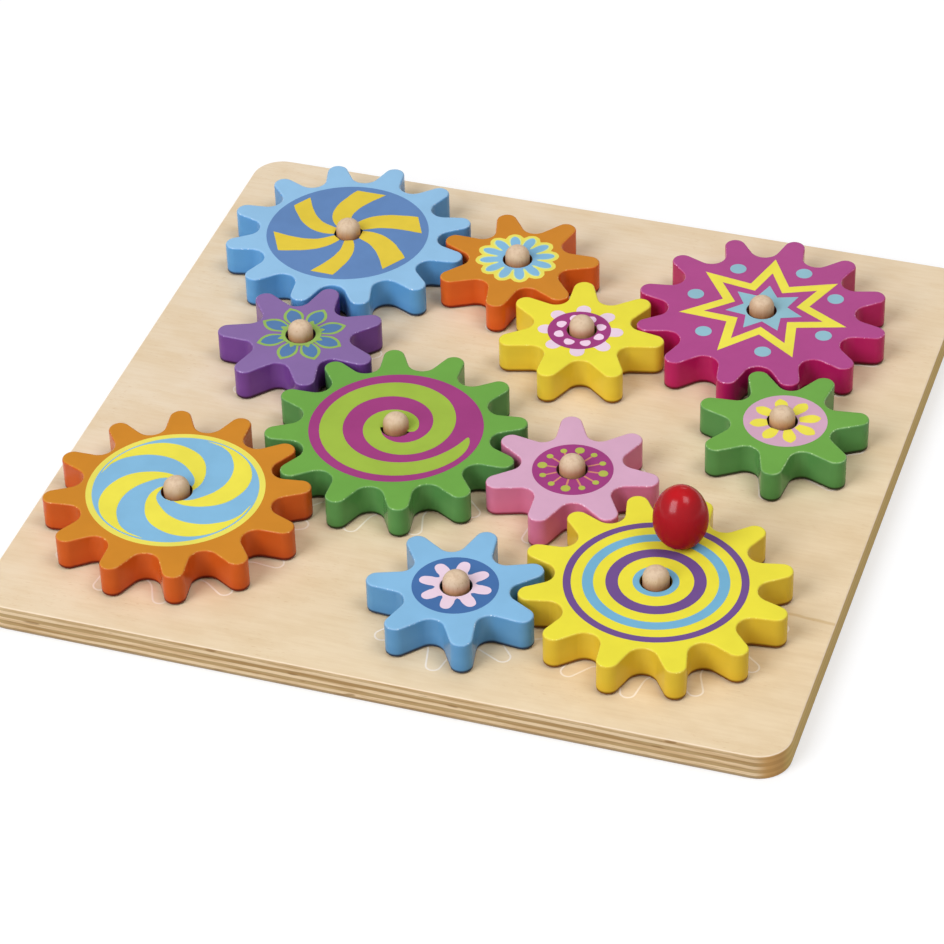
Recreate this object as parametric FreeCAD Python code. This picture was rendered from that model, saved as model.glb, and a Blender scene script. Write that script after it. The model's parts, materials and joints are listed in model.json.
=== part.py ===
import FreeCAD, Part
import math
import os
from FreeCAD import Vector

# A wooden gear puzzle: a plywood board with glued pegs, a train of loose wooden gears that
# turn on the pegs, and an egg-shaped knob that cranks the train.
# Millimetres. The origin is under the middle of the board, X runs along its front edge and
# Z points up.

# Plywood board
plyCount = 7
plyThickness = 1.5
boardCornerRadius = 12.0
boardEdgeRounding = 0.7
rimLeft = 5.4            # board left free beyond the outermost tooth tips, on each side
rimRight = 11.0
rimFront = 9.7
rimBack = 11.6

# Gears
gearThickness = 13.0
gearLift = 0.3           # air between the board and a gear
gearEdgeRounding = 0.8
toothHeight = 13.0
toothTipRadius = 4.1
toothFlankAngle = 11.5   # degrees between a flank and the tooth's middle line
tipGap = 1.9             # from a tooth's tip to the root that it faces
largeTeeth = 12
largeToothSpacing = 19.0 # from tooth to tooth along the root circle
smallTeeth = 7
smallToothSpacing = 17.5
crankRestAngle = 24.1    # degrees from X to the first tooth of the crank gear

# Pegs
pegDiameter = 9.7
pegClearance = 0.6       # air all round the peg in the gear's hole
pegDepth = 7.5           # glued into the board
pegStandOut = 6.0        # above the gear's top
pegDomeRounding = 4.2    # of the peg's top edge
boreEdgeRounding = 0.4
glueGap = 0.05

# Crank knob and the dowel that holds it
knobDiameter = 20.2
knobCrown = 13.4         # from the widest ring up to the top
knobBelly = 12.0         # from the widest ring down to the pole that the seat cuts off
knobSeatDiameter = 8.0
knobCrankRadius = 23.6
knobTooth = 2            # the tooth that the knob stands in line with
dowelDiameter = 5.0
dowelDepthInGear = 8.0
dowelDepthInKnob = 12.0

boardThickness = plyCount * plyThickness
gearBottom = boardThickness + gearLift
gearTop = gearBottom + gearThickness
pegRadius = pegDiameter / 2
boreRadius = pegRadius + pegClearance
up = Vector(0, 0, 1)
origin = Vector(0, 0, 0)
flatTolerance = 1e-6     # for telling which edges lie flat at a height


class GearKind:
    """Sizes that all gears with one number of teeth share."""

    def __init__(self, teeth, toothSpacing):
        self.teeth = teeth
        self.pitchAngle = 360.0 / teeth
        self.rootRadius = teeth * toothSpacing / (2 * math.pi)
        self.tipRadius = self.rootRadius + toothHeight


class Gear:
    """One gear of the train: its kind, its centre and the direction of its first tooth."""

    def __init__(self, kind, centre, restAngle):
        self.kind = kind
        self.centre = centre
        self.restAngle = restAngle


def polar(radius, degrees, height=0.0):
    angle = math.radians(degrees)
    return Vector(radius * math.cos(angle), radius * math.sin(angle), height)


large = GearKind(largeTeeth, largeToothSpacing)
small = GearKind(smallTeeth, smallToothSpacing)
crankGear = "yellow_large"
train = {crankGear: Gear(large, origin, crankRestAngle)}


def mesh(name, kind, neighbour, direction, play):
    """Adds a gear that meshes with a neighbour. direction is in degrees, from the neighbour
    to the new gear. play is how far the new gear stands off the middle of its backlash, as a
    share of the tooth pitch, so 0 puts a tooth in the middle of the facing gap."""
    other = train[neighbour]
    distance = other.kind.rootRadius + toothHeight + tipGap + kind.rootRadius
    centre = other.centre + polar(distance, direction)
    otherPhase = (direction - other.restAngle) / other.kind.pitchAngle
    phase = 0.5 + play - otherPhase
    restAngle = direction + 180 - phase * kind.pitchAngle
    train[name] = Gear(kind, centre, restAngle)


mesh("blue_small", small, crankGear, 198.4, 0.0)
mesh("pink_small", small, crankGear, 131.5, 0.05)
mesh("green_large", large, "pink_small", 175.2, 0.0)
mesh("orange_large", large, "green_large", 222.3, 0.0)
mesh("purple_small", small, "green_large", 140.3, 0.05)
mesh("blue_large", large, "purple_small", 94.3, -0.05)
mesh("orange_small", small, "blue_large", 0.7, -0.05)
mesh("yellow_small", small, "orange_small", 314.8, -0.05)
mesh("magenta_large", large, "yellow_small", 26.7, -0.05)
mesh("green_small", small, "magenta_large", 290.7, 0.045)

# The board is as large as the train and its rims, and its middle is over the origin.
trainLeft = min(gear.centre.x - gear.kind.tipRadius for gear in train.values())
trainRight = max(gear.centre.x + gear.kind.tipRadius for gear in train.values())
trainFront = min(gear.centre.y - gear.kind.tipRadius for gear in train.values())
trainBack = max(gear.centre.y + gear.kind.tipRadius for gear in train.values())
boardLeft = trainLeft - rimLeft
boardFront = trainFront - rimFront
boardWidth = trainRight + rimRight - boardLeft
boardDepth = trainBack + rimBack - boardFront
toBoardMiddle = Vector(-boardLeft - boardWidth / 2, -boardFront - boardDepth / 2, 0)
for gear in train.values():
    gear.centre = gear.centre + toBoardMiddle


def edgesAt(shape, heights):
    """Edges that lie flat at one of the heights."""
    found = []
    for edge in shape.Edges:
        box = edge.BoundBox
        if box.ZLength > flatTolerance:
            continue
        if any(abs(box.ZMin - height) < flatTolerance for height in heights):
            found.append(edge)
    return found


def cylinder(radius, height, base):
    return Part.makeCylinder(radius, height, base, up)


def makeBoard():
    plate = Part.makeBox(boardWidth, boardDepth, boardThickness,
                         Vector(-boardWidth / 2, -boardDepth / 2, 0))
    corners = [edge for edge in plate.Edges if edge.BoundBox.ZLength > boardThickness / 2]
    plate = plate.makeFillet(boardCornerRadius, corners)
    plate = plate.makeFillet(boardEdgeRounding, edgesAt(plate, [0, boardThickness]))
    floor = Vector(0, 0, boardThickness - pegDepth)
    holes = [cylinder(pegRadius + glueGap, pegDepth, gear.centre + floor) for gear in train.values()]
    return plate.cut(holes)


def makePeg(gear):
    height = pegDepth + gearLift + gearThickness + pegStandOut
    peg = cylinder(pegRadius, height, origin)
    peg = peg.makeFillet(pegDomeRounding, edgesAt(peg, [height]))
    peg.translate(gear.centre + Vector(0, 0, boardThickness - pegDepth))
    return peg


def gearOutline(kind):
    """Round tips and round valleys joined by straight flanks, all tangent."""
    flank = math.radians(toothFlankAngle)
    halfPitch = math.radians(kind.pitchAngle / 2)
    tipCentre = kind.tipRadius - toothTipRadius
    flankNormal = Vector(math.sin(flank), math.cos(flank), 0)
    flankReach = tipCentre * math.sin(flank) + toothTipRadius
    # The valley's circle touches both flanks and the root circle.
    slope = math.sin(flank + halfPitch)
    valleyRadius = (kind.rootRadius * slope - flankReach) / (1 - slope)
    valleyCentre = polar(kind.rootRadius + valleyRadius, kind.pitchAngle / 2)

    tip = Vector(kind.tipRadius, 0, 0)
    flankTop = Vector(tipCentre, 0, 0) + flankNormal * toothTipRadius
    flankFoot = valleyCentre - flankNormal * valleyRadius
    valley = polar(kind.rootRadius, kind.pitchAngle / 2)

    def turned(point, pitches):
        return FreeCAD.Rotation(up, pitches * kind.pitchAngle).multVec(point)

    def mirrored(point):
        return Vector(point.x, -point.y, 0)

    edges = []
    for tooth in range(kind.teeth):
        tipArc = Part.Arc(turned(mirrored(flankTop), tooth), turned(tip, tooth), turned(flankTop, tooth))
        nextFoot = turned(mirrored(flankFoot), tooth + 1)
        nextTop = turned(mirrored(flankTop), tooth + 1)
        edges.append(tipArc.toShape())
        edges.append(Part.LineSegment(turned(flankTop, tooth), turned(flankFoot, tooth)).toShape())
        edges.append(Part.Arc(turned(flankFoot, tooth), turned(valley, tooth), nextFoot).toShape())
        edges.append(Part.LineSegment(nextFoot, nextTop).toShape())
    return Part.Wire(edges)


def makeGearBlank(kind):
    """A gear round the origin, standing on height 0, with its first tooth along X."""
    blank = Part.Face(gearOutline(kind)).extrude(up * gearThickness)
    blank = blank.makeFillet(gearEdgeRounding, edgesAt(blank, [0, gearThickness]))
    blank = blank.cut(cylinder(boreRadius, gearThickness, origin))
    boreEdges = [edge for edge in edgesAt(blank, [0, gearThickness]) if edge.isClosed()]
    return blank.makeFillet(boreEdgeRounding, boreEdges)


def knobPlace():
    """Where the knob's seat stands on its gear, while the gear lies round the origin."""
    return polar(knobCrankRadius, knobTooth * large.pitchAngle, gearThickness)


def drillForKnob(blank):
    depth = Vector(0, 0, dowelDepthInGear)
    return blank.cut(cylinder(dowelDiameter / 2 + glueGap, dowelDepthInGear, knobPlace() - depth))


def eggArc(startAngle, endAngle, reach):
    """Part of an ellipse in the XZ plane round the origin, as wide as the knob. Angles are in
    degrees from X towards Z, and reach is the ellipse's half height."""
    middleAngle = (startAngle + endAngle) / 2
    corners = [Vector(math.cos(math.radians(angle)), 0, math.sin(math.radians(angle)))
               for angle in (startAngle, middleAngle, endAngle)]
    stretch = FreeCAD.Matrix()
    stretch.scale(knobDiameter / 2, 1, reach)
    return Part.Arc(*corners).toShape().transformGeometry(stretch)


def makeKnob():
    """An egg turned round Z, with its flat seat on height 0."""
    seatAngle = math.degrees(math.acos(knobSeatDiameter / knobDiameter))
    ringHeight = knobBelly * math.sin(math.radians(seatAngle))
    belly = eggArc(-seatAngle, 0, knobBelly)
    crown = eggArc(0, 90, knobCrown)
    seatEdge = Vector(knobSeatDiameter / 2, 0, -ringHeight)
    seatMiddle = Vector(0, 0, -ringHeight)
    top = Vector(0, 0, knobCrown)
    seat = Part.LineSegment(seatMiddle, seatEdge).toShape()
    axis = Part.LineSegment(top, seatMiddle).toShape()
    egg = Part.Face(Part.Wire([seat, belly, crown, axis])).revolve(origin, up, 360)
    egg.translate(up * ringHeight)
    return egg.cut(cylinder(dowelDiameter / 2 + glueGap, dowelDepthInKnob, origin))


def makeDowel():
    """The dowel stands on height 0 where the knob meets its gear."""
    return cylinder(dowelDiameter / 2, dowelDepthInGear + dowelDepthInKnob, up * -dowelDepthInGear)


def putOnPeg(shape, gear):
    """Turns a shape made round the origin to its gear's rest angle and puts it on the peg."""
    placed = shape.copy()
    placed.rotate(origin, up, gear.restAngle)
    placed.translate(gear.centre + up * gearBottom)
    return placed


def makePieces():
    pieces = {"board": makeBoard()}
    blanks = {large: makeGearBlank(large), small: makeGearBlank(small)}
    for name, gear in train.items():
        blank = blanks[gear.kind]
        if name == crankGear:
            blank = drillForKnob(blank)
        pieces["peg_" + name] = makePeg(gear)
        pieces["gear_" + name] = putOnPeg(blank, gear)
    for name, shape in (("crank_knob", makeKnob()), ("crank_dowel", makeDowel())):
        shape.translate(knobPlace())
        pieces[name] = putOnPeg(shape, train[crankGear])
    return pieces


os.makedirs("parts", exist_ok=True)
for node, shape in makePieces().items():
    shape.exportStep(os.path.join("parts", node + ".step"))
    print(node, "volume", round(shape.Volume), "valid", shape.isValid())
for name, gear in train.items():
    print(name, "peg", round(gear.centre.x, 3), round(gear.centre.y, 3), "teeth", gear.kind.teeth)
print("board", round(boardWidth, 2), "x", round(boardDepth, 2), "x", boardThickness)
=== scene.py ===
import json
import math

import bpy
from mathutils import Matrix, Vector


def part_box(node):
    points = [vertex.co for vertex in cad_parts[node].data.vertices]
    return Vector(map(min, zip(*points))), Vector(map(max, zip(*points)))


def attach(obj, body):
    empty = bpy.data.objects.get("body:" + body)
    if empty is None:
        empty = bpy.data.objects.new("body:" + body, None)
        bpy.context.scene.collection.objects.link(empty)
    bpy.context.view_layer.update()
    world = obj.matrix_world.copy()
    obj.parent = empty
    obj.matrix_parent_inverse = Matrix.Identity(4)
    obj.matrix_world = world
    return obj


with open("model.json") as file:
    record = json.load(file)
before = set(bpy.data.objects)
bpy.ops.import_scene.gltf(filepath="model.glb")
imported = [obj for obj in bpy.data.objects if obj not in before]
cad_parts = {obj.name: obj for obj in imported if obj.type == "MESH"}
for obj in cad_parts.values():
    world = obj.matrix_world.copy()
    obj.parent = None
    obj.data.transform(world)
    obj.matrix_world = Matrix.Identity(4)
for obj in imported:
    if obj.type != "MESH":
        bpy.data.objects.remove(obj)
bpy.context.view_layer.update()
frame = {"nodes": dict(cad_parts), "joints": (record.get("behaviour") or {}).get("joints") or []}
scene = bpy.context.scene
mm = 0.001


# Camera and lights

def aim(place, target, roll):
    # looks from place to target, and is rolled by so many degrees about that line
    turn = (Vector(target) - Vector(place)).to_track_quat("-Z", "Y").to_matrix()
    return (turn @ Matrix.Rotation(math.radians(roll), 3, "Z")).to_euler()


cameraSetup = {
    "place": (0.35505, -1.06053, 0.87077),
    "target": (-0.00035, -0.02892, 0.01100),
    "roll": -1.69,          # degrees
    "lens": 142.1,          # mm
    "sensor": 36.0,         # mm, its width
    "nearest": 0.05,
    "farthest": 20.0,
}


def addCamera(setup):
    data = bpy.data.cameras.new("camera")
    data.lens = setup["lens"]
    data.sensor_width = setup["sensor"]
    data.clip_start = setup["nearest"]
    data.clip_end = setup["farthest"]
    camera = bpy.data.objects.new("camera", data)
    camera.location = setup["place"]
    camera.rotation_euler = aim(setup["place"], setup["target"], setup["roll"])
    scene.collection.objects.link(camera)
    scene.camera = camera


# Softboxes: the direction each stands in, its sides in metres, how far it is turned about its
# own axis in degrees, and its power in watts
softboxes = {
    "keyLight": {
        "direction": (-0.408, -0.649, 0.639),
        "sides": (2.65, 3.75),
        "turn": 20,
        "power": 177.0,
    },
    "topLight": {
        "direction": (0.433, -0.072, 0.898),
        "sides": (2.25, 2.0),
        "turn": 35,
        "power": 72.0,
    },
    "backStrip": {
        "direction": (-0.08, 0.86, 0.50),
        "sides": (1.5, 0.4),
        "turn": 0,
        "power": 4.5,
    },
    "overhead": {
        "direction": (-0.10, 0.35, 0.93),
        "sides": (3.0, 3.0),
        "turn": 0,
        "power": 38.0,
        "mirrored": False,      # lights the gaps, but doesn't show in the gloss
    },
}
softboxDistance = 5.0               # metres from the middle of the board
lampColour = (0.975, 1.0, 1.07)     # a little cool, against the warm room


def addSoftbox(name, setup):
    data = bpy.data.lights.new(name, "AREA")
    data.shape = "RECTANGLE"
    data.size, data.size_y = setup["sides"]
    data.energy = setup["power"]
    data.color = lampColour
    light = bpy.data.objects.new(name, data)
    light.location = Vector(setup["direction"]).normalized() * softboxDistance
    light.rotation_euler = aim(light.location, (0, 0, 0), setup["turn"])
    light.visible_camera = False
    light.visible_glossy = setup.get("mirrored", True)
    scene.collection.objects.link(light)


roomSetup = {
    "strength": 0.22,
    "colour": (1.06, 0.98, 0.80, 1.0),
}


def addRoom(setup):
    world = bpy.data.worlds.new("room")
    world.use_nodes = True
    background = world.node_tree.nodes["Background"]
    background.inputs["Color"].default_value = setup["colour"]
    background.inputs["Strength"].default_value = setup["strength"]
    scene.world = world


# Short ways to make nodes

def feed(tree, socket, value):
    # another node's socket is linked, a number or a colour is set
    if isinstance(value, bpy.types.NodeSocket):
        tree.links.new(value, socket)
    else:
        socket.default_value = value


def calc(tree, operation, first, second=0.0):
    node = tree.nodes.new("ShaderNodeMath")
    node.operation = operation
    feed(tree, node.inputs[0], first)
    feed(tree, node.inputs[1], second)
    return node.outputs[0]


def spread(tree, value, low, high, start=0.0, end=1.0):
    # eases a value from start to end while it goes from low to high
    node = tree.nodes.new("ShaderNodeMapRange")
    node.interpolation_type = "SMOOTHSTEP"
    for index, entry in enumerate((value, low, high, start, end)):
        feed(tree, node.inputs[index], entry)
    return node.outputs[0]


def blend(tree, factor, first, second, how="MIX"):
    node = tree.nodes.new("ShaderNodeMix")
    node.data_type = "RGBA"
    node.blend_type = how
    feed(tree, node.inputs[0], factor)
    feed(tree, node.inputs[6], first)
    feed(tree, node.inputs[7], second)
    return node.outputs[2]


def noise(tree, vector, stretch, detail=2.0, roughness=0.5, distortion=0.0):
    # stretch is how many times the noise repeats in a metre along X, Y and Z
    scaled = tree.nodes.new("ShaderNodeVectorMath")
    scaled.operation = "MULTIPLY"
    feed(tree, scaled.inputs[0], vector)
    scaled.inputs[1].default_value = stretch
    node = tree.nodes.new("ShaderNodeTexNoise")
    tree.links.new(scaled.outputs[0], node.inputs["Vector"])
    node.inputs["Scale"].default_value = 1.0
    node.inputs["Detail"].default_value = detail
    node.inputs["Roughness"].default_value = roughness
    node.inputs["Distortion"].default_value = distortion
    return node.outputs[0]


def axes(tree, vector):
    # a vector's X, Y and Z
    node = tree.nodes.new("ShaderNodeSeparateXYZ")
    feed(tree, node.inputs[0], vector)
    return node.outputs


def surfaceNormal(tree):
    return axes(tree, tree.nodes.new("ShaderNodeNewGeometry").outputs["Normal"])


def newGroup(name, inputs, outputs):
    # inputs and outputs give each socket's kind by its name
    group = bpy.data.node_groups.new(name, "ShaderNodeTree")
    for direction, sockets in (("INPUT", inputs), ("OUTPUT", outputs)):
        for label, kind in sockets.items():
            group.interface.new_socket(label, in_out=direction, socket_type="NodeSocket" + kind)
    entry = group.nodes.new("NodeGroupInput")
    leave = group.nodes.new("NodeGroupOutput")
    return group, entry.outputs, leave.inputs


def useGroup(tree, group, **values):
    node = tree.nodes.new("ShaderNodeGroup")
    node.node_tree = group
    for label, value in values.items():
        feed(tree, node.inputs[label], value)
    return node.outputs


def rgb(red, green, blue):
    # a colour given in 0 to 255, as a screen shows it
    def linear(level):
        share = level / 255
        return share / 12.92 if share <= 0.04045 else ((share + 0.055) / 1.055) ** 2.4
    return (linear(red), linear(green), linear(blue), 1.0)


# Effects that several materials share

# Wood that grows along X. Each entry says how often its noise repeats in a metre along X, Y and Z.
woodScales = {
    "bands": (5, 30, 30),
    "clouds": (55, 120, 120),
    "streaks": (55, 640, 640),
    "pores": (330, 2100, 2100),
    "porePatches": (30, 60, 60),
}


def makeWoodFigure(scales):
    # slow bands, soft clouds, fine streaks and short dark pores
    group, entry, leave = newGroup(
        "woodFigure",
        {"Place": "Vector", "Pale": "Color", "Deep": "Color", "Bands": "Float", "Pores": "Float"},
        {"Colour": "Color", "Height": "Float"})
    place = entry["Place"]
    bands = spread(group, noise(group, place, scales["bands"], 2.0, 0.5, 0.6), 0.33, 0.68)
    clouds = spread(group, noise(group, place, scales["clouds"], 3.0, 0.6), 0.32, 0.7)
    streaks = noise(group, place, scales["streaks"], 3.0, 0.6)
    fine = spread(group, streaks, 0.35, 0.7, 0.0, 0.7)
    toned = calc(group, "ADD", calc(group, "ADD", bands, clouds), fine)
    toned = calc(group, "MULTIPLY", toned, entry["Bands"])
    colour = blend(group, toned, entry["Pale"], entry["Deep"])
    dashes = noise(group, place, scales["pores"], 1.0)
    patches = spread(group, noise(group, place, scales["porePatches"], 1.0), 0.42, 0.62)
    pores = calc(group, "MULTIPLY", spread(group, dashes, 0.64, 0.74), patches)
    poreStrength = calc(group, "MULTIPLY", pores, entry["Pores"])
    colour = blend(group, poreStrength, colour, entry["Deep"], "MULTIPLY")
    height = calc(group, "SUBTRACT", streaks, pores)
    group.links.new(colour, leave["Colour"])
    group.links.new(height, leave["Height"])
    return group


# Heights are above the foot of the piece, scales are how often a noise repeats in a metre.
filmEffects = {
    "cloudScale": (60, 60, 60),
    "wearScale": (210, 210, 210),
    "chipAndGlintScale": (850, 850, 850),
    "skinScale": (900, 900, 900),
    "brushScale": (60, 900, 60),
    "deepShadeFrom": 6.5 * mm,       # painted shade: the paint turns darker and deeper in tone towards its foot
    "deepShadeTo": 0.5 * mm,
    "deepShadeShare": 0.25,
    "contactShadowColour": rgb(116, 48, 38),  # painted contact shadow: multiplies the paint where the foot meets the board
    "contactShadowFrom": 1.9 * mm,
    "contactShadowTo": 0.9 * mm,
    "contactShadowShare": 0.88,
    "bore": rgb(60, 40, 34),    # painted shade: multiplies the paint inside the hole
    "boreShadeShare": 0.94,
}


def makeCoatFilm(effects):
    # A painted or printed film: a darker copy of its colour on the walls as painted shade, slight
    # mottling, light edges that are partly wear and partly painted highlight, painted shade deepening
    # towards its foot with a painted contact shadow where it meets the board, and painted shade inside a
    # hole round an upright axis.
    group, entry, leave = newGroup(
        "coatFilm",
        {"Place": "Vector", "Flat": "Color", "Wall": "Color", "Rubbed": "Color", "Rub": "Float",
         "Mottle": "Float", "Foot": "Float", "Axis": "Vector", "Bore": "Float"},
        {"Colour": "Color", "Height": "Float"})
    place = entry["Place"]
    upward = surfaceNormal(group)["Z"]
    # the walls take a darker copy of the paint: painted shade
    colour = blend(group, spread(group, upward, 0.55, 0.97), entry["Wall"], entry["Flat"])

    shade = spread(group, noise(group, place, effects["cloudScale"], 3.0, 0.6), 0.3, 0.7, -1.0, 1.0)
    shade = calc(group, "ADD", calc(group, "MULTIPLY", shade, entry["Mottle"]), 1.0)
    tint = group.nodes.new("ShaderNodeCombineColor")
    for channel in range(3):
        group.links.new(shade, tint.inputs[channel])
    colour = blend(group, 1.0, colour, tint.outputs[0], "MULTIPLY")

    # where an edge rounds over, the paint lightens: partly wear, partly a painted highlight with painted
    # glints
    edge = calc(group, "MULTIPLY", spread(group, upward, 0.3, 0.6), spread(group, upward, 0.97, 0.82))
    wear = spread(group, noise(group, place, effects["wearScale"], 3.0, 0.65), 0.35, 0.65, 0.15, 0.55)
    chipsAndGlints = spread(group, noise(group, place, effects["chipAndGlintScale"], 3.0, 0.7), 0.57, 0.67, 0.0, 2.2)
    wornAndHighlitMask = calc(group, "MULTIPLY", edge, calc(group, "ADD", wear, chipsAndGlints))
    colour = blend(group, calc(group, "MULTIPLY", wornAndHighlitMask, entry["Rub"]), colour, entry["Rubbed"])

    # painted shade: the paint grows darker and deeper in tone towards the foot
    above = calc(group, "SUBTRACT", axes(group, place)["Z"], entry["Foot"])
    deep = spread(group, above, effects["deepShadeFrom"], effects["deepShadeTo"], 0.0, effects["deepShadeShare"])
    colour = blend(group, deep, colour, colour, "MULTIPLY")
    # painted contact shadow where the foot meets the board
    contactShadowMask = spread(group, above, effects["contactShadowFrom"], effects["contactShadowTo"], 0.0, effects["contactShadowShare"])
    colour = blend(group, contactShadowMask, colour, effects["contactShadowColour"], "MULTIPLY")

    # painted shade inside the hole round the axis
    aside = group.nodes.new("ShaderNodeVectorMath")
    aside.operation = "SUBTRACT"
    group.links.new(place, aside.inputs[0])
    group.links.new(entry["Axis"], aside.inputs[1])
    offset = axes(group, aside.outputs[0])
    squares = [calc(group, "POWER", offset[axis], 2.0) for axis in ("X", "Y")]
    reach = calc(group, "SQRT", calc(group, "ADD", squares[0], squares[1]))
    boreShadeMask = calc(group, "MULTIPLY", calc(group, "LESS_THAN", reach, entry["Bore"]), effects["boreShadeShare"])
    colour = blend(group, boreShadeMask, colour, effects["bore"], "MULTIPLY")

    skin = noise(group, place, effects["skinScale"])
    brush = noise(group, place, effects["brushScale"])
    height = calc(group, "ADD", skin, calc(group, "MULTIPLY", brush, 0.6))
    group.links.new(colour, leave["Colour"])
    group.links.new(height, leave["Height"])
    return group


woodFigure = makeWoodFigure(woodScales)
coatFilm = makeCoatFilm(filmEffects)
print("shared effects ready")


# Materials

def newMaterial(name, setup):
    # Its gloss and the depth of its bump are set. Its colour and height are still to be linked.
    material = bpy.data.materials.new(name)
    material.use_nodes = True
    tree = material.node_tree
    tree.nodes.clear()
    shader = tree.nodes.new("ShaderNodeBsdfPrincipled")
    shader.inputs["Roughness"].default_value = setup["roughness"]
    shader.inputs["Specular IOR Level"].default_value = setup["specular"]
    output = tree.nodes.new("ShaderNodeOutputMaterial")
    tree.links.new(shader.outputs[0], output.inputs["Surface"])
    bump = tree.nodes.new("ShaderNodeBump")
    bump.inputs["Strength"].default_value = setup["bump"]
    bump.inputs["Distance"].default_value = setup["bumpDistance"]
    tree.links.new(bump.outputs[0], shader.inputs["Normal"])
    return material, tree, shader, bump


def objectPlace(tree):
    return tree.nodes.new("ShaderNodeTexCoord").outputs["Object"]


paintFinish = {
    "roughness": 0.18,
    "specular": 0.16,
    "bump": 0.10,
    "bumpDistance": 0.05 * mm,
    "edgeWearAndHighlight": 0.38,
    "mottle": 0.03,
    "foot": 10.8 * mm,      # how high the foot of the painted walls stands
}


def makeCoat(name, flat, shadedWallColour, wornAndHighlitColour, finish, axis=(0.0, 0.0, 0.0), bore=0.0):
    # axis and bore are the place and the radius of a hole through the piece
    material, tree, shader, bump = newMaterial(name, finish)
    place = objectPlace(tree)
    film = useGroup(tree, coatFilm, Place=place, Flat=flat, Wall=shadedWallColour, Rubbed=wornAndHighlitColour,
                    Rub=finish["edgeWearAndHighlight"], Mottle=finish["mottle"], Foot=finish["foot"],
                    Axis=axis, Bore=bore)
    tree.links.new(film["Colour"], shader.inputs["Base Color"])
    tree.links.new(film["Height"], bump.inputs["Height"])
    if "lacquer" in finish:
        lacquer = spread(tree, axes(tree, place)["Z"], finish["lacquerFrom"], finish["lacquerTo"],
                         0.0, finish["lacquer"])
        tree.links.new(lacquer, shader.inputs["Coat Weight"])
        shader.inputs["Coat Roughness"].default_value = finish["roughness"]
    return material


# Paint of the gears: the flat top; a darker, deeper copy for the walls, which is painted shade;
# and the light colour of rubbed edges, partly wear and partly a painted highlight
paints = {
    "yellow": (rgb(238, 226, 66), rgb(226, 193, 56), rgb(248, 240, 120)),
    "lemon": (rgb(236, 224, 66), rgb(237, 208, 62), rgb(248, 240, 120)),
    "blue": (rgb(149, 195, 230), rgb(99, 165, 221), rgb(222, 238, 250)),
    "skyBlue": (rgb(136, 188, 225), rgb(97, 156, 204), rgb(214, 236, 250)),
    "pink": (rgb(217, 170, 196), rgb(217, 121, 157), rgb(248, 222, 238)),
    "green": (rgb(112, 168, 74), rgb(90, 148, 80), rgb(190, 226, 160)),
    "orange": (rgb(208, 136, 44), rgb(208, 94, 32), rgb(240, 190, 110)),
    "tangerine": (rgb(208, 134, 44), rgb(222, 100, 34), rgb(240, 190, 110)),
    "purple": (rgb(138, 109, 165), rgb(119, 71, 152), rgb(208, 186, 230)),
    "magenta": (rgb(176, 74, 138), rgb(186, 30, 98), rgb(240, 176, 214)),
}

inkFinish = {
    "roughness": 0.34,
    "specular": 0.12,
    "bump": 0.08,
    "bumpDistance": 0.04 * mm,
    "edgeWearAndHighlight": 0.0,
    "mottle": 0.04,
    "foot": 0.0,
}

inks = {
    "yellow": rgb(239, 227, 80),
    "deepYellow": rgb(229, 202, 67),
    "lime": rgb(160, 188, 70),
    "paleLime": rgb(150, 184, 94),
    "ringYellow": rgb(236, 225, 98),
    "headGreen": rgb(181, 187, 82),
    "magenta": rgb(162, 63, 127),
    "purple": rgb(114, 81, 143),
    "lightBlue": rgb(117, 178, 210),
    "swirlBlue": rgb(133, 186, 220),
    "midBlue": rgb(100, 136, 187),
    "leafBlue": rgb(88, 126, 173),
    "deepBlue": rgb(71, 112, 168),
    "teal": rgb(146, 190, 204),
    "palePink": rgb(236, 211, 227),
    "softPink": rgb(212, 168, 191),
    "white": rgb(246, 214, 236),
    "paleLemon": rgb(222, 234, 150),
    "salmon": rgb(208, 138, 112),
    "outline": rgb(248, 233, 214),
}


def makeInk(name):
    return makeCoat("ink." + name, inks[name], inks[name], inks[name], inkFinish)


knobFinish = {
    "colour": rgb(190, 20, 30),
    # the knob's sides take this darker red as a shaded copy of its colour: painted shade
    "low": rgb(171, 29, 38),
    "roughness": 0.20,
    "specular": 0.03,
    "lacquer": 0.60,            # clear coat on the crown, rubbed dull towards the foot
    "lacquerFrom": 39.5 * mm,
    "lacquerTo": 43.0 * mm,
    "bump": 0.04,
    "bumpDistance": 0.10 * mm,
    "edgeWearAndHighlight": 0.0,
    "mottle": 0.04,
    "foot": 20.0 * mm,          # below the knob, so that it gets the painted shade near its foot but no painted contact shadow
}

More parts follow.
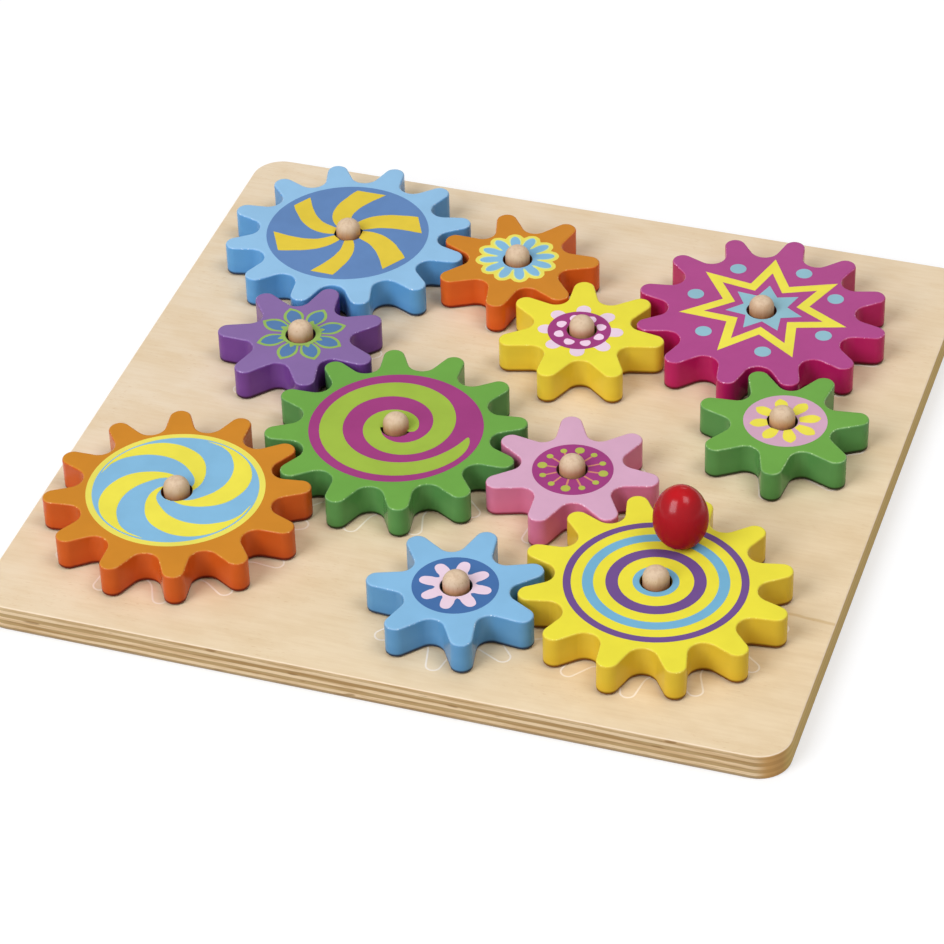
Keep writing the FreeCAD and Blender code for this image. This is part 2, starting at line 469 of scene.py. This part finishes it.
# Scales are how often a noise repeats in a metre.
plywood = {
    "pale": rgb(237, 219, 192),     # the veneer, with grain lines in the deep colour
    "warm": rgb(240, 219, 184),     # the veneer turns warmer towards the front right corner
    "warmFrom": -0.15,              # X less Y, in metres
    "warmTo": 0.20,
    "deep": rgb(222, 194, 152),
    "bands": 0.28,                  # how strong the grain lines and the pores are
    "pores": 0.35,
    "rimHighlight": rgb(250, 230, 206),      # a painted highlight along the rounded edge of the top
    "rimHighlightShare": 0.6,
    "seam": rgb(240, 232, 216),     # a joint in the veneer, running out over the right edge
    "seamOffset": 64.7 * mm,
    "seamSlope": 0.07,
    "seamWave": 2.4 * mm,
    "waveScale": (90, 90, 90),
    "seamWidth": 1.2 * mm,
    "seamCore": 0.2,                # the share of its width that is at full strength
    "seamFrom": 112 * mm,
    "seamTo": 134 * mm,
    "lightPly": rgb(245, 218, 178),
    "darkPly": rgb(198, 166, 117),
    "plyStain": rgb(216, 198, 168),
    "stainScale": (26, 26, 520),
    "stainShare": 0.6,
    "plyKnot": rgb(150, 110, 62),
    "knotScale": (95, 95, 420),
    "knotShare": 0.6,
    "plyFootShade": rgb(152, 140, 128),  # painted shade: the lowest ply is greyed near the table
    "footShadeFrom": 1.6 * mm,
    "footShadeTo": 0.5 * mm,
    "footShadeShare": 0.5,
    "sideLight": rgb(222, 188, 114),
    "sideDark": rgb(212, 178, 104),
    "cornerLight": rgb(214, 167, 104),
    "cornerDark": rgb(204, 156, 95),
    "plyThickness": 1.5 * mm,
    "plyWobble": 0.20 * mm,
    "wobbleScale": (30, 30, 260),
    "plyStreaks": 0.8,
    "streakScale": (140, 140, 1700),
    "topPlyFrom": 8.8 * mm,         # the top ply is lighter
    "topPlyTo": 9.3 * mm,
    "topPlyShare": 0.40,
    "roughness": 0.6,
    "specular": 0.12,
    "bump": 0.12,
    "bumpDistance": 0.06 * mm,
}


def makePlywood(setup):
    material, tree, shader, bump = newMaterial("plywood", setup)
    place = objectPlace(tree)
    point = axes(tree, place)
    normal = surfaceNormal(tree)
    upward = normal["Z"]
    across = calc(tree, "SUBTRACT", point["X"], point["Y"])
    warmth = spread(tree, across, setup["warmFrom"], setup["warmTo"])
    veneer = blend(tree, warmth, setup["pale"], setup["warm"])
    face = useGroup(tree, woodFigure, Place=place, Pale=veneer, Deep=setup["deep"],
                    Bands=setup["bands"], Pores=setup["pores"])

    # The joint is a soft, wavy line that appears towards the right edge.
    slant = calc(tree, "MULTIPLY", point["X"], setup["seamSlope"])
    wave = calc(tree, "MULTIPLY", noise(tree, place, setup["waveScale"]), setup["seamWave"])
    wave = calc(tree, "ADD", wave, setup["seamOffset"] - setup["seamWave"] / 2)
    line = calc(tree, "ADD", slant, wave)
    distance = calc(tree, "ABSOLUTE", calc(tree, "ADD", point["Y"], line))
    seam = spread(tree, distance, setup["seamWidth"], setup["seamCore"] * setup["seamWidth"])
    seam = calc(tree, "MULTIPLY", seam, spread(tree, point["X"], setup["seamFrom"], setup["seamTo"]))
    faceColour = blend(tree, seam, face["Colour"], setup["seam"], "MULTIPLY")

    # The plies show on the edge as stripes, clear at the front and back and faint at the sides.
    wobble = noise(tree, place, setup["wobbleScale"], 3.0, 0.6)
    wobble = calc(tree, "SUBTRACT", wobble, 0.5)        # it seldom strays by more than a quarter
    wobble = calc(tree, "MULTIPLY", wobble, setup["plyWobble"] * 4)
    height = calc(tree, "ADD", point["Z"], wobble)
    stripe = calc(tree, "SINE", calc(tree, "MULTIPLY", height, math.pi / setup["plyThickness"]))
    light = spread(tree, stripe, 0.20, -0.50)           # every second ply, and the wider ones
    topPly = spread(tree, height, setup["topPlyFrom"], setup["topPlyTo"], 0.0, setup["topPlyShare"])
    light = calc(tree, "ADD", light, topPly)
    streak = noise(tree, place, setup["streakScale"], 3.0, 0.7)
    streaky = calc(tree, "MULTIPLY", calc(tree, "SUBTRACT", streak, 0.5), setup["plyStreaks"])
    share = spread(tree, calc(tree, "ADD", light, streaky), 0.0, 1.0)

    front = blend(tree, share, setup["darkPly"], setup["lightPly"])
    stains = noise(tree, place, setup["stainScale"], 4.0, 0.65)
    stains = spread(tree, stains, 0.42, 0.62, 0.0, setup["stainShare"])
    front = blend(tree, stains, front, setup["plyStain"], "MULTIPLY")
    knots = noise(tree, place, setup["knotScale"], 1.0, 0.4)
    knots = spread(tree, knots, 0.71, 0.78, 0.0, setup["knotShare"])
    front = blend(tree, knots, front, setup["plyKnot"])
    # painted shade on the lowest ply, near the table
    foot = spread(tree, height, setup["footShadeFrom"], setup["footShadeTo"], 0.0, setup["footShadeShare"])
    front = blend(tree, foot, front, setup["plyFootShade"])
    corner = blend(tree, share, setup["cornerDark"], setup["cornerLight"])
    side = blend(tree, share, setup["sideDark"], setup["sideLight"])
    sideways = calc(tree, "ABSOLUTE", normal["X"])
    edge = blend(tree, spread(tree, sideways, 0.1, 0.55), front, corner)
    edge = blend(tree, spread(tree, sideways, 0.8, 1.0), edge, side)

    flatness = spread(tree, calc(tree, "ABSOLUTE", upward), 0.35, 0.75)
    wood = blend(tree, flatness, edge, faceColour)
    # painted highlight along the rounded top edge
    rimHighlight = calc(tree, "MULTIPLY", spread(tree, upward, 0.45, 0.75), spread(tree, upward, 0.99, 0.9))
    wood = blend(tree, calc(tree, "MULTIPLY", rimHighlight, setup["rimHighlightShare"]), wood, setup["rimHighlight"])
    tree.links.new(wood, shader.inputs["Base Color"])
    tree.links.new(face["Height"], bump.inputs["Height"])
    return material


pegWood = {
    "pale": rgb(224, 198, 168),
    "deep": rgb(196, 158, 120),
    "bands": 0.35,
    "pores": 0.5,
    "endGrain": rgb(198, 164, 132),
    "speckScale": (700, 700, 700),  # how often the end grain's specks repeat in a metre
    "speckShare": 0.4,
    "foot": rgb(232, 176, 132),     # painted shade and painted warm light bounced from the gear: multiplies the wood where the dome nears its gear
    "footShadeFrom": 28.0 * mm,
    "footShadeTo": 23.6 * mm,
    "footShadeShare": 0.75,
    "roughness": 0.52,
    "specular": 0.25,
    "bump": 0.2,
    "bumpDistance": 0.08 * mm,
}


def makePegWood(setup):
    material, tree, shader, bump = newMaterial("pegWood", setup)
    place = objectPlace(tree)
    upright = tree.nodes.new("ShaderNodeVectorRotate")      # the grain stands along Z
    upright.rotation_type = "Y_AXIS"
    tree.links.new(place, upright.inputs["Vector"])
    upright.inputs["Angle"].default_value = math.radians(90)
    figure = useGroup(tree, woodFigure, Place=upright.outputs[0], Pale=setup["pale"],
                      Deep=setup["deep"], Bands=setup["bands"], Pores=setup["pores"])
    specks = noise(tree, place, setup["speckScale"], 2.0, 0.6)
    specks = spread(tree, specks, 0.42, 0.66, 0.0, setup["speckShare"])
    ends = blend(tree, specks, setup["pale"], setup["endGrain"])
    cut = spread(tree, surfaceNormal(tree)["Z"], 0.45, 0.95)
    wood = blend(tree, cut, figure["Colour"], ends)
    # painted shade and painted warm light bounced from the gear, near the dome's foot
    low = spread(tree, axes(tree, place)["Z"], setup["footShadeFrom"], setup["footShadeTo"],
                 0.0, setup["footShadeShare"])
    wood = blend(tree, low, wood, setup["foot"], "MULTIPLY")
    tree.links.new(wood, shader.inputs["Base Color"])
    tree.links.new(figure["Height"], bump.inputs["Height"])
    return material


floorSetup = {
    "colour": rgb(192, 192, 192),
    "glow": 0.51,               # so that the floor reaches the white of the room
    "size": 12.0,
    "sink": 0.05 * mm,          # below the underside of the board
    "roughness": 0.9,
}


def addFloor(setup):
    material = bpy.data.materials.new("floor")
    material.use_nodes = True
    tree = material.node_tree
    shader = tree.nodes["Principled BSDF"]
    path = tree.nodes.new("ShaderNodeLightPath")
    seen = calc(tree, "MAXIMUM", path.outputs["Is Camera Ray"], path.outputs["Is Glossy Ray"])
    seen = calc(tree, "MAXIMUM", seen, path.outputs["Is Transmission Ray"])
    tree.links.new(calc(tree, "MULTIPLY", seen, setup["glow"]), shader.inputs["Emission Strength"])
    shader.inputs["Emission Color"].default_value = (1.0, 1.0, 1.0, 1.0)
    shader.inputs["Base Color"].default_value = setup["colour"]
    shader.inputs["Roughness"].default_value = setup["roughness"]
    shader.inputs["Specular IOR Level"].default_value = 0.0
    mesh = bpy.data.meshes.new("floor")
    half = setup["size"] / 2
    corners = [(-half, -half, 0), (half, -half, 0), (half, half, 0), (-half, half, 0)]
    mesh.from_pydata(corners, [], [(0, 1, 2, 3)])
    mesh.materials.append(material)
    floor = bpy.data.objects.new("floor", mesh)
    floor.location.z = -setup["sink"]
    scene.collection.objects.link(floor)


addCamera(cameraSetup)
for name, setup in softboxes.items():
    addSoftbox(name, setup)
addRoom(roomSetup)
addFloor(floorSetup)
print("camera, light and floor ready")


# The toy's own solids get their materials

def dress(node, material):
    piece = frame["nodes"][node]
    piece.data.materials.clear()
    piece.data.materials.append(material)


gearBore = 5.93 * mm        # just beyond the rounded edge of each gear's hole

gears = {
    "blue_large": {"paint": "blue", "teeth": 12},
    "magenta_large": {"paint": "magenta", "teeth": 12, "edgeWearAndHighlight": 0.55},
    "green_large": {"paint": "green", "teeth": 12},
    "orange_large": {"paint": "orange", "teeth": 12},
    "yellow_large": {"paint": "yellow", "teeth": 12},
    "orange_small": {"paint": "tangerine", "teeth": 7},
    "yellow_small": {"paint": "lemon", "teeth": 7},
    "green_small": {"paint": "green", "teeth": 7, "edgeWearAndHighlight": 0.75},
    "purple_small": {"paint": "purple", "teeth": 7},
    "pink_small": {"paint": "pink", "teeth": 7},
    "blue_small": {"paint": "skyBlue", "teeth": 7},
}

pegPlaces = {joint["name"].removeprefix("turn_"): Vector(joint["pos_m"]) for joint in frame["joints"]}
inkMaterials = {name: makeInk(name) for name in inks}
pegMaterial = makePegWood(pegWood)

dress("board", makePlywood(plywood))
for name, gear in gears.items():
    finish = dict(paintFinish, edgeWearAndHighlight=gear.get("edgeWearAndHighlight", paintFinish["edgeWearAndHighlight"]))
    paint = makeCoat("paint." + name, *paints[gear["paint"]], finish, pegPlaces[name], gearBore)
    dress("gear_" + name, paint)
    dress("peg_" + name, pegMaterial)
knobLacquer = makeCoat("knobLacquer", knobFinish["colour"], knobFinish["low"], knobFinish["colour"],
                       knobFinish)
dress("crank_knob", knobLacquer)
dress("crank_dowel", pegMaterial)
print("solids dressed")


# Flat printed shapes

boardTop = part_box("board")[1].z
holeEdge = 5.9      # mm, inner edge of any print, just past the rounding of the gear's hole
inkStep = 0.04      # mm, thickness of one coat of ink
inkSink = 0.01      # mm, how far a coat reaches into what it lies on


def spot(radius, degrees, middle=(0.0, 0.0)):
    angle = math.radians(degrees)
    return (middle[0] + radius * math.cos(angle), middle[1] + radius * math.sin(angle))


def arc(radius, start, end, middle=(0.0, 0.0), step=3.0):
    count = max(2, math.ceil(abs(end - start) / step))
    return [spot(radius, start + (end - start) * index / count, middle) for index in range(count + 1)]


def circle(radius, middle=(0.0, 0.0)):
    return arc(radius, 0, 360, middle)[:-1]


def evenTurns(count, first=0.0):
    # the angles at which so many parts stand evenly round a middle
    return [first + index * 360 / count for index in range(count)]


def smoothLine(points, steps=8):
    # a Catmull-Rom line through the points a, b, c and d, with its ends carried straight on
    first = tuple(2 * a - b for a, b in zip(points[0], points[1]))
    last = tuple(2 * a - b for a, b in zip(points[-1], points[-2]))
    row = [first] + list(points) + [last]
    line = []
    for before, start, end, after in zip(row, row[1:], row[2:], row[3:]):
        for index in range(steps):
            t = index / steps
            line.append(tuple(
                0.5 * (2 * b + (c - a) * t
                       + (2 * a - 5 * b + 4 * c - d) * t * t
                       + (3 * b - a - 3 * c + d) * t ** 3)
                for a, b, c, d in zip(before, start, end, after)))
    return line + [points[-1]]


def polarLine(points, middle=(0.0, 0.0)):
    # a smooth line through points given as (degrees, radius)
    return [spot(radius, degrees, middle) for degrees, radius in smoothLine(points)]


def clearOfHole(loop):
    # points over the gear's hole move out to its edge
    moved = []
    for x, y in loop:
        reach = math.hypot(x, y)
        scale = max(1.0, holeEdge / reach)
        moved.append((x * scale, y * scale))
    return moved


def flatPiece(name, loops, middle, bottom, top, material, body):
    # A flat shape inside closed loops, in mm round its middle. A loop inside another is a hole.
    curve = bpy.data.curves.new(name, "CURVE")
    curve.dimensions = "2D"
    curve.fill_mode = "BOTH"
    curve.extrude = (top - bottom) / 2
    for loop in loops:
        spline = curve.splines.new("POLY")
        spline.points.add(len(loop) - 1)
        for point, (x, y) in zip(spline.points, loop):
            point.co = (x, y, 0.0, 1.0)
        spline.use_cyclic_u = True
    drawn = bpy.data.objects.new(name + ".drawn", curve)
    mesh = bpy.data.meshes.new_from_object(drawn)
    bpy.data.objects.remove(drawn)
    mesh.transform(Matrix.Translation((0, 0, (top + bottom) / 2)))
    mesh.transform(Matrix.Scale(mm, 4))
    mesh.transform(Matrix.Translation((middle.x, middle.y, 0)))
    mesh.name = name
    mesh.materials.clear()
    mesh.materials.append(material)
    piece = bpy.data.objects.new(name, mesh)
    scene.collection.objects.link(piece)
    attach(piece, body)
    return piece


def printOn(gear, part, ink, loops, coat=1):
    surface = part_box("gear_" + gear)[1].z / mm
    bottom = surface + (coat - 1) * inkStep - inkSink
    top = surface + coat * inkStep
    piece = flatPiece("print_" + gear + "_" + part, loops, pegPlaces[gear], bottom, top,
                      inkMaterials[ink], "gear_" + gear)


def disc(radius, middle=(0.0, 0.0)):
    return [circle(radius, middle), circle(holeEdge)]


def petalSides(side, turn, middle):
    # The two sides of a petal. side lists (along, across) in mm from its root to its tip.
    radial = [(math.hypot(a, b), math.degrees(math.atan2(b, a))) for a, b in side]
    rising = [spot(radius, turn - angle, middle) for radius, angle in radial]
    falling = [spot(radius, turn + angle, middle) for radius, angle in reversed(radial)]
    return rising, falling


def petalRing(count, first, notch, side, middle):
    # petals side by side, with notches between them
    loop = []
    half = 180 / count
    for turn in evenTurns(count, first):
        rising, falling = petalSides(side, turn, middle)
        start = spot(notch, turn - half, middle)
        end = spot(notch, turn + half, middle)
        loop += smoothLine([start] + rising[:-1] + falling + [end])[:-1]
    return loop


def drop(turn, side, middle, pointed=False):
    # one closed petal
    rising, falling = petalSides(side, turn, middle)
    if pointed:
        return smoothLine(rising)[:-1] + smoothLine(falling)[:-1]
    return smoothLine(rising[:-1] + falling)[:-1]


# Large blue gear: a pinwheel
pinwheel = {
    "middle": (-0.45, 0.2),
    "discRadius": 32.5,
    "bladeReach": 29.8,
    # for each blade: where it starts and ends at the rim, and how far each side bends, in degrees
    "blades": [
        (14.5, 37, 15, 33), (78, 101.5, 22, 38.5), (140, 156, 21.5, 38),
        (195, 221, 23, 27), (260, 278, 16, 24), (317, 339, 17, 33)],
    # radius, and how much of its bend a side has by there
    "nearBend": [
        (27, 0.11), (24, 0.27), (21, 0.44), (18, 0.64), (15, 0.82), (12, 1.0), (8, 1.05), (5, 1.05)],
    "farBend": [
        (27, 0.12), (24, 0.25), (21, 0.43), (18, 0.61), (15, 0.81), (12, 1.0), (8, 1.24), (5, 1.38)],
}


def printPinwheel(setup):
    middle = setup["middle"]
    reach = setup["bladeReach"]
    loops = []
    for start, end, nearSweep, farSweep in setup["blades"]:
        near = [(start, reach)] + [(start + nearSweep * share, r) for r, share in setup["nearBend"]]
        far = [(end, reach)] + [(end + farSweep * share, r) for r, share in setup["farBend"]]
        loops.append(clearOfHole(polarLine(near, middle) + polarLine(far, middle)[::-1]))
    printOn("blue_large", "disc", "midBlue", disc(setup["discRadius"], middle))
    printOn("blue_large", "blades", "deepYellow", loops, 2)


# Large magenta gear: a star in a star, with dots round it
star = {
    "middle": (0.9, 1.6),
    "points": 7,
    "firstPoint": 45.6,
    "bandOutside": (33.3, 17.3),    # radius of the tips and of the notches
    "bandInside": (23.8, 12.3),
    "core": (15.3, 8.7),
    "dotRadius": 3.2,
    "dotCircle": 28.3,
    "dotAngles": [28.7, 71.5, 126, 176, 228, 282.7, 336.8],
}


def starLoop(setup, radii):
    pitch = 360 / setup["points"]
    loop = []
    for index in range(setup["points"]):
        turn = setup["firstPoint"] + index * pitch
        loop.append(spot(radii[0], turn, setup["middle"]))
        loop.append(spot(radii[1], turn + pitch / 2, setup["middle"]))
    return loop


def printStar(setup):
    band = [starLoop(setup, setup["bandOutside"]), starLoop(setup, setup["bandInside"])]
    printOn("magenta_large", "band", "yellow", band)
    printOn("magenta_large", "core", "teal", [starLoop(setup, setup["core"]), circle(holeEdge)])
    dots = [circle(setup["dotRadius"], spot(setup["dotCircle"], turn, setup["middle"]))
            for turn in setup["dotAngles"]]
    printOn("magenta_large", "dots", "teal", dots)


# Large green gear: a spiral. Its two sides are given as (degrees, radius), from the hole outwards.
spiral = {
    "discRadius": 32.8,
    "inside": [
        (-165, 5.0), (-150, 5.6), (-120, 6.6), (-90, 8.0), (-60, 9.7), (-30, 11.1), (0, 12.5),
        (30, 14.2), (60, 16.3), (90, 18.2), (120, 19.5), (150, 20.2), (180, 20.0), (210, 20.0),
        (240, 20.3), (270, 20.8), (300, 21.8), (330, 23.6), (345, 25.0), (359, 26.8)],
    "tip": (363, 27.9),
    "outside": [
        (-372, 5.9), (-360, 7.7), (-330, 8.8), (-300, 9.7), (-270, 10.4), (-240, 11.0),
        (-210, 11.6), (-180, 12.0), (-150, 12.6), (-120, 13.7), (-90, 15.4), (-60, 17.2),
        (-30, 18.9), (0, 20.6), (30, 22.9), (60, 25.5), (90, 27.2), (120, 28.0), (150, 28.5),
        (180, 28.7), (240, 29.0), (285, 29.1), (320, 29.9), (340, 30.3), (352, 29.9), (360, 28.9)],
}


def printSpiral(setup):
    line = polarLine(setup["inside"] + [setup["tip"]] + setup["outside"][::-1])
    printOn("green_large", "disc", "magenta", disc(setup["discRadius"]))
    printOn("green_large", "spiral", "lime", [clearOfHole(line)], 2)


# Large orange gear: a swirl in a ring. A blade's two sides are given as (degrees, radius).
swirl = {
    "middle": (-0.9, 1.05),
    "ringRadius": 33.0,
    "discRadius": 30.7,
    "blades": 4,
    "front": [
        (-98, 4.5), (-82, 6.2), (-67, 8), (-53, 10), (-41, 12), (-27, 15), (-16, 18), (-5, 21), (8, 24),
        (17, 26), (28, 28), (36, 29), (47, 29.9), (60, 30.1), (74, 30.1), (88, 29.9)],
    "back": [
        (-80, 4.5), (-58, 6.3), (-40, 8), (-18, 10), (-3, 12), (11.5, 15), (24, 18), (36, 21), (48, 24),
        (57, 26), (66, 28), (76, 29.3)],
}


def printSwirl(setup):
    middle = setup["middle"]
    loops = []
    for turn in evenTurns(setup["blades"]):
        front = [(degrees + turn, radius) for degrees, radius in setup["front"]]
        back = [(degrees + turn, radius) for degrees, radius in setup["back"]]
        loops.append(clearOfHole(polarLine(front, middle) + polarLine(back, middle)[::-1]))
    printOn("orange_large", "ring", "ringYellow", disc(setup["ringRadius"], middle))
    printOn("orange_large", "disc", "swirlBlue", disc(setup["discRadius"], middle), 2)
    printOn("orange_large", "swirl", "yellow", loops, 3)


# Large yellow gear: rings
rings = {
    "outer": ("purple", 30.2, 33.0),
    "sky": ("lightBlue", 22.3, 26.2),
    "inner": ("purple", 13.5, 17.9),
    "hub": ("lightBlue", holeEdge, 8.3),
}


def printRings(setup):
    for part, (ink, inside, outside) in setup.items():
        printOn("yellow_large", part, ink, [circle(outside), circle(inside)])


# Small orange gear: a daisy of twelve petals
daisy = {
    "middle": (-0.4, 0.9),
    "petals": 12,
    "firstPetal": 21.3,
    "edgeNotch": 14.1,
    "edge": [(14.8, 2.9), (15.8, 2.1), (16.6, 0.0)],
    "lineNotch": 9.0,
    "line": [(10.0, 2.25), (12.0, 2.4), (13.8, 2.0), (15.1, 0.0)],
    "fillNotch": 7.6,
    "fill": [(8.6, 1.75), (10.2, 1.95), (11.8, 1.9), (13.2, 1.55), (14.3, 0.9), (14.8, 0.0)],
}


def printDaisy(setup):
    layers = {"edge": "ringYellow", "line": "paleLemon", "fill": "swirlBlue"}
    for coat, (part, ink) in enumerate(layers.items(), 1):
        petals = petalRing(setup["petals"], setup["firstPetal"], setup[part + "Notch"], setup[part],
                           setup["middle"])
        printOn("orange_small", part, ink, [petals, circle(holeEdge)], coat)


# Small yellow gear: petals round a disc with light drops
rosette = {
    "discMiddle": (-0.9, -0.5),
    "discRadius": 12.25,
    "petalMiddle": (-0.4, -0.6),
    "petals": 8,
    "firstPetal": 11,
    "petalNotch": 11.0,
    "petal": [(11.8, 2.9), (14.1, 2.8), (15.8, 1.9), (16.6, 0.0)],
    "dropMiddle": (-0.5, -0.6),
    "firstDrop": 30.5,
    "drop": [(6.7, 0.0), (7.0, 1.6), (8.0, 2.1), (9.5, 1.6), (10.4, 0.0)],
}


def printRosette(setup):
    petals = petalRing(setup["petals"], setup["firstPetal"], setup["petalNotch"], setup["petal"],
                       setup["petalMiddle"])
    drops = [clearOfHole(drop(turn, setup["drop"], setup["dropMiddle"]))
             for turn in evenTurns(setup["petals"], setup["firstDrop"])]
    printOn("yellow_small", "petals", "palePink", [petals, circle(holeEdge)])
    printOn("yellow_small", "disc", "magenta", disc(setup["discRadius"], setup["discMiddle"]), 2)
    printOn("yellow_small", "drops", "white", drops, 3)


# Small green gear: pointed petals on a disc
marigold = {
    "middle": (1.1, 0.4),
    "discRadius": 15.7,
    "petals": 8,
    "firstPetal": 22.8,
    "petal": [(5.2, 1.3), (7.0, 1.85), (9.2, 2.4), (11.2, 2.25), (12.6, 1.3), (13.5, 0.0)],
}


def printMarigold(setup):
    middle = setup["middle"]
    petals = [clearOfHole(drop(turn, setup["petal"], middle, True))
              for turn in evenTurns(setup["petals"], setup["firstPetal"])]
    printOn("green_small", "disc", "softPink", disc(setup["discRadius"], middle))
    printOn("green_small", "petals", "yellow", petals, 2)


# Small purple gear: petals with a light line round them, and a small leaf at the root of each
lotus = {
    "middle": (0.1, 0.6),
    "petals": [34, 80, 124.5, 167, 215.5, 263, 306.5, 349],
    "hubRadius": 7.8,
    "line": [(6.2, 1.9), (8.6, 3.0), (11.0, 3.85), (13.2, 3.75), (15.6, 2.5), (17.9, 0.0)],
    "fill": [(7.0, 1.4), (8.8, 2.2), (11.0, 2.75), (13.2, 2.5), (15.0, 1.55), (16.3, 0.0)],
    "leaf": [(6.6, 1.2), (7.6, 1.1), (8.6, 0.7), (9.5, 0.0)],
}


def printLotus(setup):
    middle = setup["middle"]
    layers = {"line": "paleLime", "fill": "leafBlue", "leaf": "paleLime"}
    for coat, (part, ink) in enumerate(layers.items(), 1):
        loops = [clearOfHole(drop(turn, setup[part], middle, True)) for turn in setup["petals"]]
        printOn("purple_small", part, ink, loops, coat)
    printOn("purple_small", "hub", "paleLime", [circle(setup["hubRadius"], middle), circle(holeEdge)], 4)


# Small pink gear: pins with round heads
pins = {
    "middle": (0.2, 0.0),
    "discRadius": 15.0,
    "count": 12,
    "firstPin": 3.5,
    "stalkRoot": 6.0,
    "stalkWidth": 0.75,
    "headCircle": 11.5,
    "bigHead": 1.8,
    "smallHead": 1.25,
    "bigEvery": 3,          # every third head is a big one
}


def printPins(setup):
    middle = setup["middle"]
    half = setup["stalkWidth"] / 2
    stalks = []
    heads = []
    for index, turn in enumerate(evenTurns(setup["count"], setup["firstPin"])):
        centre = spot(setup["headCircle"], turn, middle)
        big = index % setup["bigEvery"] == 0
        heads.append(circle(setup["bigHead"] if big else setup["smallHead"], centre))
        root = spot(setup["stalkRoot"], turn)
        x, y = spot(half, turn + 90)
        stalks.append([(root[0] - x, root[1] - y), (centre[0] - x, centre[1] - y),
                       (centre[0] + x, centre[1] + y), (root[0] + x, root[1] + y)])
    printOn("pink_small", "disc", "magenta", disc(setup["discRadius"], middle))
    printOn("pink_small", "stalks", "salmon", stalks, 2)
    printOn("pink_small", "heads", "headGreen", heads, 3)


# Small blue gear: a round-petalled flower on a disc
blossom = {
    "middle": (-0.4, 0.25),
    "discRadius": 15.5,
    "petals": 8,
    "firstPetal": 1,
    "notch": 7.2,
    "petal": [(7.8, 2.3), (9.2, 2.4), (10.8, 2.25), (12.2, 1.85), (13.0, 1.1), (13.3, 0.0)],
}


def printBlossom(setup):
    middle = setup["middle"]
    flower = petalRing(setup["petals"], setup["firstPetal"], setup["notch"], setup["petal"], middle)
    printOn("blue_small", "disc", "deepBlue", disc(setup["discRadius"], middle))
    printOn("blue_small", "flower", "palePink", [flower, circle(holeEdge)], 2)


printPinwheel(pinwheel)
printStar(star)
printSpiral(spiral)
printSwirl(swirl)
printRings(rings)
printDaisy(daisy)
printRosette(rosette)
printMarigold(marigold)
printLotus(lotus)
printPins(pins)
printBlossom(blossom)
print("gears printed")


# Gear outlines printed on the board

outlines = {
    "lineWidth": 0.65,
    "shrink": 1.4,              # how much smaller than the gear the outline is, all round
    "toothHeight": 13.0,
    "tipRadius": 4.1,
    "flankAngle": 11.5,         # degrees
    "arcStep": 12,              # degrees between the points of a curve
    "toothSpacing": {12: 19.0, 7: 17.5},    # along the root circle, by the number of teeth
    "firstTooth": {             # degrees
        "yellow_large": 3.4,
        "blue_small": 14.0,
        "pink_small": 47.5,
        "green_large": 26.8,
        "orange_large": 12.7,
        "purple_small": 27.6,
        "blue_large": 23.4,
        "orange_small": 9.9,
        "yellow_small": 1.9,
        "magenta_large": 25.5,
        "green_small": 16.1,
    },
}


def gearLoop(setup, teeth, firstTooth, grow):
    # the gear's own outline, moved outwards by grow
    pitch = 360 / teeth
    flank = setup["flankAngle"]
    step = setup["arcStep"]
    rootRadius = teeth * setup["toothSpacing"][teeth] / (2 * math.pi)
    tipMiddle = rootRadius + setup["toothHeight"] - setup["tipRadius"]
    slope = math.sin(math.radians(flank + pitch / 2))
    flankReach = tipMiddle * math.sin(math.radians(flank)) + setup["tipRadius"]
    valleyRadius = (rootRadius * slope - flankReach) / (1 - slope)
    loop = []
    for index in range(teeth):
        turn = firstTooth + index * pitch
        tip = spot(tipMiddle, turn)
        valley = spot(rootRadius + valleyRadius, turn + pitch / 2)
        loop += arc(setup["tipRadius"] + grow, turn - 90 + flank, turn + 90 - flank, tip, step)
        loop += arc(valleyRadius - grow, turn + 270 - flank, turn + 90 + flank + pitch, valley, step)
    return loop


def printOutlines(setup):
    half = setup["lineWidth"] / 2
    surface = boardTop / mm
    for name, gear in gears.items():
        loops = [gearLoop(setup, gear["teeth"], setup["firstTooth"][name], side - setup["shrink"])
                 for side in (half, -half)]
        piece = flatPiece("outline_" + name, loops, pegPlaces[name], surface - inkSink,
                          surface + inkStep, inkMaterials["outline"], "base")


printOutlines(outlines)
print("board printed")

scene.view_settings.view_transform = "Standard"
